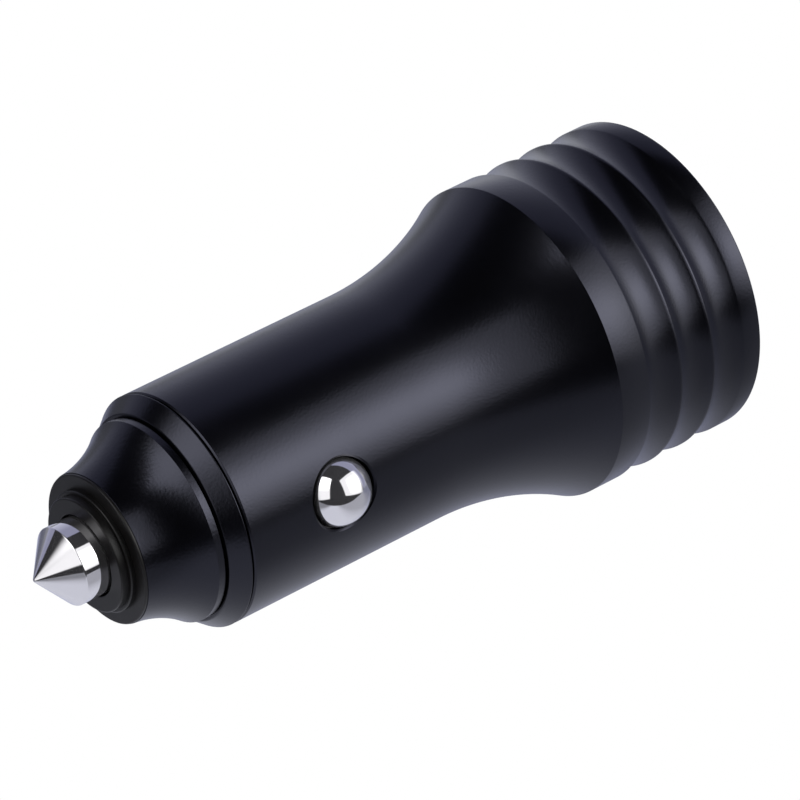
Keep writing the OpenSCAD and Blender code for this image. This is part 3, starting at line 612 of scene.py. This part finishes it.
class PLUG_OT_body(bpy.types.Operator):
    """Turned body: head with grip grooves, flare, and barrel with its side openings"""

    bl_idname = "plug.body"
    bl_label = "Body"

    def execute(self, context):
        s = context.scene.plug_body
        head_length = s.head_band + s.groove_count * s.groove_pitch + s.end_band
        flare_top = head_length + s.flare
        edge = s.edge
        points = [(s.face_bore, s.face_depth), (s.face_bore, 0, edge)]
        points += [(HEAD_R - s.end_chamfer, 0, edge), (HEAD_R, s.end_chamfer, edge)]
        for i in range(s.groove_count):
            depth = s.first_groove_depth if i == s.groove_count - 1 else s.groove_depth
            width = s.groove_pitch - s.groove_land
            radius = sweep_radius(depth, width / 2)
            middle = s.end_band + (i + 0.5) * s.groove_pitch
            centre = (HEAD_R - depth + radius, middle)
            first = (HEAD_R, middle - width / 2)
            last = (HEAD_R, middle + width / 2)
            points += chord(centre, radius, first, last, count=24)
        points += [(HEAD_R, head_length, edge)]
        radius = sweep_radius(HEAD_R - BARREL_R, s.flare)
        corner = (HEAD_R, head_length)
        curve = chord((BARREL_R + radius, flare_top), radius, corner, (BARREL_R, flare_top), count=40)
        points += curve[1:]
        turned = Turned()
        outer = turned.outline(rounded(points, count=5))
        # The band is as high as the patch round a hole is wide, which makes its faces square
        band_half = BARREL_R * TURN * BAND_ROWS / 2 / turned.segments
        low = turned.ring(BARREL_R, SIDE_Z - band_half)
        high = turned.ring(BARREL_R, SIDE_Z + band_half)
        turned.join(outer[-1], low)
        rim = s.hole_edge
        outer_loops = pierced_band(turned, low, high, BARREL_R, SIDE_Z, s.side_hole, rim, False)
        front = turned.outline(rounded([
            (BARREL_R, SEAM_Z - 3 * s.seam_chamfer),
            (BARREL_R, SEAM_Z - s.seam_chamfer, edge),
            (BARREL_R - s.seam_chamfer, SEAM_Z, edge),
            (s.bore, SEAM_Z),
        ], count=4))
        turned.join(high, front[0])
        inner_high = turned.ring(s.bore, SIDE_Z + band_half)
        inner_low = turned.ring(s.bore, SIDE_Z - band_half)
        turned.join(front[-1], inner_high)
        inner_loops = pierced_band(turned, inner_low, inner_high, s.bore, SIDE_Z, s.side_hole, 0, True)
        inside = turned.outline([(s.bore, s.face_depth)])
        turned.join(inner_low, inside[0])
        turned.join(inside[0], outer[0])
        hole_wall(turned, outer_loops, inner_loops, BARREL_R, SIDE_Z, s.side_hole, rim)
        material = anodised("anodised_metal", s.metal, grain=4800, depth=0.000009)
        body = make_object("body_turned", turned.mesh("body_turned"), material, "plug")
        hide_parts("body_shell")
        return {"FINISHED"}


def neck_radius(nose):
    """Outer radius of the cap's neck, where the hollow curve ends."""
    return BARREL_R - nose.lip_inset - nose.cove_rise


class PLUG_OT_nose(bpy.types.Operator):
    """Nose cap with its rounded band, lip and hollow curve"""

    bl_idname = "plug.nose"
    bl_label = "Nose"

    def execute(self, context):
        s = context.scene.plug_nose
        body = context.scene.plug_body
        lip_r = BARREL_R - s.lip_inset
        neck_r = neck_radius(s)
        band_top = SEAM_Z + s.band
        lip_z = band_top + s.groove
        lip_top = lip_z + s.lip
        cove_length = NECK_Z - lip_top
        chamfer = body.seam_chamfer
        edge = body.edge
        points = [
            (body.bore, SEAM_Z),
            (BARREL_R - s.seam_depth, SEAM_Z),
            (BARREL_R - s.seam_depth, SEAM_Z + s.seam_gap),
            (BARREL_R - chamfer, SEAM_Z + s.seam_gap, edge),
            (BARREL_R, SEAM_Z + s.seam_gap + chamfer, edge / 2),
            (BARREL_R, SEAM_Z + s.seam_gap + chamfer + s.band_land, edge),
            (BARREL_R - s.band_taper, band_top, 3 * edge),
            (lip_r - s.groove_depth, band_top),
            (lip_r - s.groove_depth, lip_z),
            (lip_r, lip_z, edge),
            (lip_r, lip_top, edge / 2),
        ]
        start = math.atan2(s.cove_rise, cove_length) * 2 - s.neck_slope
        radius = cove_length / (math.sin(start) - math.sin(s.neck_slope))
        centre = (
            neck_r + radius * math.cos(s.neck_slope),
            NECK_Z + radius * math.sin(s.neck_slope),
        )
        points += chord(centre, radius, (lip_r, lip_top), (neck_r, NECK_Z), count=40)[1:-1]
        points += [(neck_r, NECK_Z, edge / 2), (neck_r - s.neck_wall, NECK_Z)]
        points += [(neck_r - s.neck_wall, NOSE_LOW[2]), (body.bore, NOSE_LOW[2])]
        turned = Turned()
        turned.outline(rounded(points, count=4), closed=True)
        material = anodised("anodised_nose", body.metal, grain=4200, depth=0.000012)
        cap = make_object("nose_cap_turned", turned.mesh("nose_cap_turned"), material, "plug")
        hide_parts("nose_cap")
        return {"FINISHED"}


class PLUG_OT_insulator(bpy.types.Operator):
    """Stepped plastic insulator between the nose cap and the tip"""

    bl_idname = "plug.insulator"
    bl_label = "Insulator"

    def execute(self, context):
        s = context.scene.plug_nose
        sleeve_r = neck_radius(s) - s.neck_wall - SLEEVE_GAP
        rear_z = NECK_Z + s.rear_length
        middle_z = rear_z + s.step_length
        points = [
            (s.guide, INSULATOR_LOW[2]),
            (sleeve_r, INSULATOR_LOW[2]),
            (sleeve_r, NECK_Z),
            (STEP_R, NECK_Z),
            (STEP_R, rear_z, s.step_edge),
            (s.middle_step, rear_z),
            (s.middle_step, middle_z, s.step_edge),
            (s.front_step, middle_z),
            (s.front_step, INSULATOR_Z, s.step_edge),
            (s.guide, INSULATOR_Z, s.guide_edge),
        ]
        turned = Turned()
        turned.outline(rounded(points, count=5), closed=True)
        material = finish("insulator_plastic", s.plastic, 0.36, grain=5000, depth=0.000003, ior=1.32)
        piece = make_object("insulator_turned", turned.mesh("insulator_turned"), material, "plug")
        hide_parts("nose_insulator")
        return {"FINISHED"}


class PLUG_OT_contacts(bpy.types.Operator):
    """Polished tip contact and the two rounded side contacts"""

    bl_idname = "plug.contacts"
    bl_label = "Contacts"

    def execute(self, context):
        s = context.scene.plug_contacts
        chrome = finish(
            "polished_chrome", s.chrome, 0.05, metallic=0.95, grain=3000, depth=0.000001, mottle=0.04
        )
        cone_base = POINT_Z - s.cone
        ball = (0, POINT_Z - s.point)
        slope = math.degrees(math.atan2(s.cone - s.point, s.shank - s.point))
        flange_r = TIP_HIGH[0]
        points = [
            (0, TIP_LOW[2]),
            (flange_r, TIP_LOW[2]),
            (flange_r, TIP_LOW[2] + TIP_FLANGE),
            (s.shank, TIP_LOW[2] + TIP_FLANGE),
            (s.shank, cone_base, s.edge),
        ]
        points += arc(ball, s.point, 90 - slope, 90, count=12)[:-1]
        points += [(0, POINT_Z)]
        turned = Turned()
        turned.outline(rounded(points))
        tip = make_object("tip_polished", turned.mesh("tip_polished", crease=20), chrome, "tip")
        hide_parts("tip_contact")

        centre = BARREL_R + s.dome_out - s.dome
        flange_in = SIDE_LOW[0]
        flange_r = SIDE_HIGH[1]
        sides = ((1, "side_right", "side_contact_right"), (-1, "side_left", "side_contact_left"))
        for side, body, node in sides:
            turned = Turned(segments=128)
            points = [
                (0, flange_in),
                (flange_r, flange_in),
                (flange_r, flange_in + SIDE_FLANGE),
                (s.dome, flange_in + SIDE_FLANGE),
            ]
            points += arc((0, centre), s.dome, 0, 90, count=48)[:-1]
            points += [(0, centre + s.dome)]
            turned.outline(points)
            mesh = turned.mesh(node + "_polished")
            lie_down = Matrix.Rotation(math.radians(90 * side), 4, "Y")
            mesh.transform(Matrix.Translation((0, 0, SIDE_Z)) @ lie_down)
            dome = make_object(node + "_polished", mesh, chrome, body)
            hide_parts(node)
        return {"FINISHED"}


class PLUG_OT_sockets(bpy.types.Operator):
    """Finishes of the face plate, the two sockets and the status light"""

    bl_idname = "plug.sockets"
    bl_label = "Sockets"

    def execute(self, context):
        steel = finish("socket_steel", (0.55, 0.55, 0.56), 0.22, metallic=1.0, grain=2500)
        gold = finish("contact_gold", (0.75, 0.5, 0.16), 0.2, metallic=1.0, grain=2500)
        black = finish("tongue_plastic", (0.012, 0.012, 0.013), 0.45, grain=4000, depth=0.00001)
        face = finish("face_plastic", (0.006, 0.006, 0.0065), 0.2, grain=1500)
        lens = finish("light_pipe", (0.6, 0.7, 0.8), 0.1, grain=1500, clear=0.6)
        for side in ("a", "b"):
            dress("usb_shell_" + side, steel)
            dress("usb_contacts_" + side, gold)
            dress("usb_tongue_" + side, black)
        dress("face_plate", face)
        dress("light_pipe", lens)
        dress("status_led", finish("status_light", (0.8, 0.78, 0.6), 0.3))
        return {"FINISHED"}


def shorten(entry):
    """Gives a spring its own copy of its mesh."""
    spring = frame["nodes"][entry["node"]]
    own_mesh(spring)


class PLUG_OT_inside(bpy.types.Operator):
    """Finishes of the hidden pieces: springs, strips, carrier, housing and board"""

    bl_idname = "plug.inside"
    bl_label = "Inside"

    def execute(self, context):
        spring = finish("spring_wire", (0.5, 0.5, 0.51), 0.28, metallic=1.0, grain=4000)
        brass = finish("strip_brass", (0.6, 0.42, 0.16), 0.25, metallic=1.0, grain=4000)
        for joint in frame["record"]["behaviour"]["joints"]:
            for entry in joint["deforming_nodes"]:
                dress(entry["node"], spring)
                shorten(entry)
        for node in ("spring_terminal", "ground_strip"):
            dress(node, brass)
        moulded = finish("moulded_black", (0.014, 0.014, 0.015), 0.5, grain=4000, depth=0.00001)
        for node in ("contact_carrier", "inner_housing"):
            dress(node, moulded)
        dress("positive_lead", finish("lead_red", (0.4, 0.012, 0.01), 0.4))
        dress("circuit_board", finish("solder_mask", (0.008, 0.09, 0.03), 0.3))
        dress("power_inductor", finish("ferrite_grey", (0.05, 0.05, 0.055), 0.6, depth=0.00001))
        dress("input_capacitor", finish("sleeve_blue", (0.01, 0.02, 0.08), 0.25))
        dress("output_capacitor", finish("can_aluminium", (0.6, 0.6, 0.62), 0.3, metallic=1.0))
        dress("controller_chip", finish("chip_black", (0.012, 0.012, 0.013), 0.5))
        dress("small_components", finish("ceramic_tan", (0.25, 0.17, 0.1), 0.5))
        return {"FINISHED"}


def seen_rays(tree):
    """Light path sockets, and 1 for rays from the camera and for reflected and transmitted rays."""
    path = tree.nodes.new("ShaderNodeLightPath").outputs
    total = path["Is Camera Ray"]
    for name in ("Is Glossy Ray", "Is Transmission Ray"):
        total = math_node(tree, "MAXIMUM", total, path[name])
    return path, total


def glow_material(name, reflected, matt_colour):
    """A stage surface: white for the camera, a colour in reflections and a matt one for other rays.

    The colour in reflections is a constant, or a function that makes it in the node tree.
    """
    material = bpy.data.materials.new(name)
    tree, surface = empty_tree(material, "ShaderNodeOutputMaterial")
    path, seen = seen_rays(tree)
    if callable(reflected):
        reflected = reflected(tree)
    colour = blend_colours(tree, path["Is Camera Ray"], reflected, WHITE)
    glow = tree.nodes.new("ShaderNodeEmission")
    tree.links.new(colour, glow.inputs["Color"])
    matt = tree.nodes.new("ShaderNodeBsdfDiffuse")
    matt.inputs["Color"].default_value = (*matt_colour, 1)
    mix = tree.nodes.new("ShaderNodeMixShader")
    tree.links.new(seen, mix.inputs["Fac"])
    tree.links.new(matt.outputs["BSDF"], mix.inputs[1])
    tree.links.new(glow.outputs["Emission"], mix.inputs[2])
    tree.links.new(mix.outputs["Shader"], surface)
    return material


def lamp_glow(data, fades):
    """Makes a lamp fade at its left, right, lower and upper edge, over shares of its size."""
    tree, surface = empty_tree(data, "ShaderNodeOutputLight")
    glow = tree.nodes.new("ShaderNodeEmission")
    place = tree.nodes.new("ShaderNodeNewGeometry")
    split = tree.nodes.new("ShaderNodeSeparateXYZ")
    tree.links.new(place.outputs["Parametric"], split.inputs["Vector"])
    total = None
    for i, share in enumerate(fades):
        side = split.outputs["X" if i < 2 else "Y"]
        edge = i % 2
        inner = share if edge == 0 else 1 - share
        level = fade(tree, side, (edge, inner))
        total = level if total is None else math_node(tree, "MULTIPLY", total, level)
    tree.links.new(total, glow.inputs["Strength"])
    tree.links.new(glow.outputs["Emission"], surface)


class View:
    """Directions of the plug and of the picture, and the middle of the stage."""

    def __init__(self, s):
        axis = Vector((0, 0, 1))
        # Square to the axis: towards the camera's side, and across the plug
        self.facing = Vector((-math.cos(s.spin), -math.sin(s.spin), 0))
        self.across = Vector((-math.sin(s.spin), math.cos(s.spin), 0))
        # In the picture: along the plug to its wide end, into the picture, to its right, and down
        self.along = self.facing * math.sin(s.tilt) - axis * math.cos(s.tilt)
        self.ahead = -axis * math.sin(s.tilt) - self.facing * math.cos(s.tilt)
        self.right = self.along * math.cos(s.roll) + self.across * math.sin(s.roll)
        self.down = -self.along * math.sin(s.roll) + self.across * math.cos(s.roll)
        self.centre = Vector((0, 0, SEAM_Z - STAGE_DEPTH))

    def towards(self, right_degrees, down_degrees):
        """Direction at an angle to the right of and below the way to the camera."""
        angle = math.radians(math.hypot(right_degrees, down_degrees))
        heading = math.atan2(down_degrees, right_degrees)
        side = self.right * math.cos(heading) + self.down * math.sin(heading)
        return -self.ahead * math.cos(angle) + side * math.sin(angle)


def add_camera(view, lens):
    """Camera at the place that the photograph was taken from."""
    data = bpy.data.cameras.new("photo_camera")
    data.lens = lens
    data.sensor_width = SENSOR_MM
    data.clip_start = CLIP_START
    data.clip_end = CLIP_END
    place = Vector((0, 0, SEAM_Z + AIM_HEIGHT))
    place += view.along * CAMERA_ALONG + view.across * CAMERA_ACROSS - view.ahead * CAMERA_BACK
    turn = Matrix((view.right, -view.down, -view.ahead)).transposed()
    camera = link("photo_camera", data)
    camera.matrix_world = Matrix.Translation(place) @ turn.to_4x4()
    bpy.context.scene.camera = camera


def soft_light(view, name, place, distance, upright, reach, level, fades):
    """Soft lamp that faces the plug and fades towards its edges.

    Its place, to the right and below, and its reach, across and up, are angles in degrees, seen
    from the plug. The fades at its left, right, lower and upper edge are shares of its full width
    or height.
    """
    back = view.towards(*place).normalized()
    width, height = (2 * distance * math.tan(math.radians(half)) for half in reach)
    data = bpy.data.lights.new(name, "AREA")
    data.shape = "RECTANGLE"
    data.size = width
    data.size_y = height
    data.energy = level * math.pi * width * height
    lamp_glow(data, fades)
    lamp = link(name, data)
    upright = (upright - back * upright.dot(back)).normalized()
    turn = Matrix((upright.cross(back), upright, back)).transposed()
    lamp.matrix_world = Matrix.Translation(view.centre + back * distance) @ turn.to_4x4()
    lamp.visible_camera = False


def add_lamps(view, s):
    """Two soft lamps, at the right and the left, each with a brighter core before it."""
    picture_across = (view.across - view.ahead * view.across.dot(view.ahead)).normalized()
    soft_light(
        view, "key_softbox", place=(58.1, -22.4), distance=0.42, upright=picture_across,
        reach=(38, 30.5), level=s.key_light, fades=(0.25, 0.05, 0.05, 0.05),
    )
    soft_light(
        view, "key_core", place=(63, -21.5), distance=0.4, upright=picture_across,
        reach=(26, 26), level=s.key_core, fades=(0.4, 0.3, 0.5, 0.5),
    )
    soft_light(
        view, "fill_softbox", place=(-43, -6), distance=0.45, upright=view.down,
        reach=(29, 34.5), level=s.fill_light, fades=(0.06, 0.48, 0.04, 0.06),
    )
    soft_light(
        view, "fill_core", place=(-43, -21), distance=0.43, upright=view.down,
        reach=(29, 23), level=s.fill_core, fades=(0.06, 0.48, 0.1, 0.5),
    )


def stage_sheet(name, points, faces, material):
    """A sheet of the stage that the camera doesn't see."""
    mesh = bpy.data.meshes.new(name)
    mesh.from_pydata([tuple(point) for point in points], [], faces)
    mesh.materials.append(material)
    piece = link(name, mesh)
    piece.visible_camera = False


def add_floor(view, s):
    """Pale floor under the plug and parallel to its axis."""
    floor_up = (view.facing - view.across * math.tan(FLOOR_TURN)).normalized()
    nearer = (-view.ahead - floor_up * -view.ahead.dot(floor_up)).normalized()
    sideways = floor_up.cross(nearer)
    rightwards = sideways if sideways.dot(view.right) > 0 else -sideways
    foot = view.centre - floor_up * FLOOR_DROP

    def reflected(tree):
        """Bright round the plug and far behind it, with the shade between and at both sides."""
        place = tree.nodes.new("ShaderNodeTexCoord").outputs["Object"]
        offset = vector_node(tree, "SUBTRACT", place, foot)
        depth = vector_node(tree, "DOT_PRODUCT", offset, -nearer, "Value")
        side = vector_node(tree, "DOT_PRODUCT", offset, rightwards, "Value")
        colour = blend_colours(tree, fade(tree, depth, SHADE_START), s.floor_near, s.floor_shade)
        colour = blend_colours(tree, fade(tree, depth, SHADE_END), colour, s.floor_near)
        colour = blend_colours(tree, fade(tree, side, SHADE_RIGHT, RIGHT_LOSS), colour, BLACK)
        return blend_colours(tree, fade(tree, side, SHADE_LEFT, LEFT_LOSS), colour, BLACK)

    side = sideways * FLOOR_SIDE
    back = foot - nearer * FLOOR_BACK
    front = foot + nearer * FLOOR_FRONT
    corners = [back - side, back + side, front + side, front - side]
    material = glow_material("floor_white", reflected, FLOOR_MATT)
    stage_sheet("floor", corners, [(0, 1, 2, 3)], material)


def add_dark_room(view, s):
    """Dark surroundings of the camera, as a fan of faces round a hub."""
    directions = [view.towards(*corner) for corner in (*DARK_CORNERS, DARK_HUB)]
    points = [view.centre + direction * DARK_DISTANCE for direction in directions]
    count = len(DARK_CORNERS)
    faces = [(count, i, (i + 1) % count) for i in range(count)]
    stage_sheet("dark_room", points, faces, glow_material("dark_room", s.dark, DARK_MATT))


def add_world(view, s):
    """White for the camera, and for reflections a backdrop that is brightest behind the plug."""
    world = bpy.data.worlds.new("studio")
    bpy.context.scene.world = world
    tree, surface = empty_tree(world, "ShaderNodeOutputWorld")
    glow = tree.nodes.new("ShaderNodeBackground")
    path = tree.nodes.new("ShaderNodeLightPath").outputs
    direction = tree.nodes.new("ShaderNodeTexCoord").outputs["Generated"]
    facing = vector_node(tree, "DOT_PRODUCT", direction, -view.ahead, "Value")
    colour = blend_colours(tree, ramp(tree, facing, *BACKDROP_SPAN, 0, 1), s.side_dim, s.backdrop)
    colour = blend_colours(tree, path["Is Diffuse Ray"], colour, WORLD_MATT)
    colour = blend_colours(tree, path["Is Camera Ray"], colour, WHITE)
    tree.links.new(colour, glow.inputs["Color"])
    tree.links.new(glow.outputs["Background"], surface)


class PLUG_OT_stage(bpy.types.Operator):
    """Camera, soft lights, pale floor and surroundings"""

    bl_idname = "plug.stage"
    bl_label = "Stage"

    def execute(self, context):
        s = context.scene.plug_stage
        view = View(s)
        add_camera(view, s.lens)
        add_lamps(view, s)
        add_floor(view, s)
        add_dark_room(view, s)
        add_world(view, s)
        context.scene.view_settings.view_transform = "Standard"
        return {"FINISHED"}


class PLUG_PT_panel(bpy.types.Panel):
    """Lists the steps that build the plug, and their settings"""

    bl_label = "Charger plug"
    bl_idname = "PLUG_PT_panel"
    bl_space_type = "VIEW_3D"
    bl_region_type = "UI"
    bl_category = "Plug"

    def draw(self, context):
        for step in OPERATORS:
            self.layout.operator(step.bl_idname)
        for group in GROUPS:
            box = self.layout.box()
            settings = getattr(context.scene, group)
            for name in settings.bl_rna.properties.keys():
                if name not in ("rna_type", "name"):
                    box.prop(settings, name)


GROUPS = {
    "plug_body": PlugBodySizes,
    "plug_nose": PlugNoseSizes,
    "plug_contacts": PlugContactSizes,
    "plug_stage": PlugStageSizes,
}
OPERATORS = (
    PLUG_OT_body,
    PLUG_OT_nose,
    PLUG_OT_insulator,
    PLUG_OT_contacts,
    PLUG_OT_sockets,
    PLUG_OT_inside,
    PLUG_OT_stage,
)
CLASSES = (*GROUPS.values(), *OPERATORS, PLUG_PT_panel)


def register():
    for item in CLASSES:
        bpy.utils.register_class(item)
    for name, group in GROUPS.items():
        setattr(bpy.types.Scene, name, PointerProperty(type=group))


def unregister():
    for name in GROUPS:
        delattr(bpy.types.Scene, name)
    for item in reversed(CLASSES):
        bpy.utils.unregister_class(item)


def main():
    register()
    bpy.ops.plug.body()
    bpy.ops.plug.nose()
    bpy.ops.plug.insulator()
    bpy.ops.plug.contacts()
    bpy.ops.plug.sockets()
    bpy.ops.plug.inside()
    bpy.ops.plug.stage()


if __name__ == "__main__":
    main()
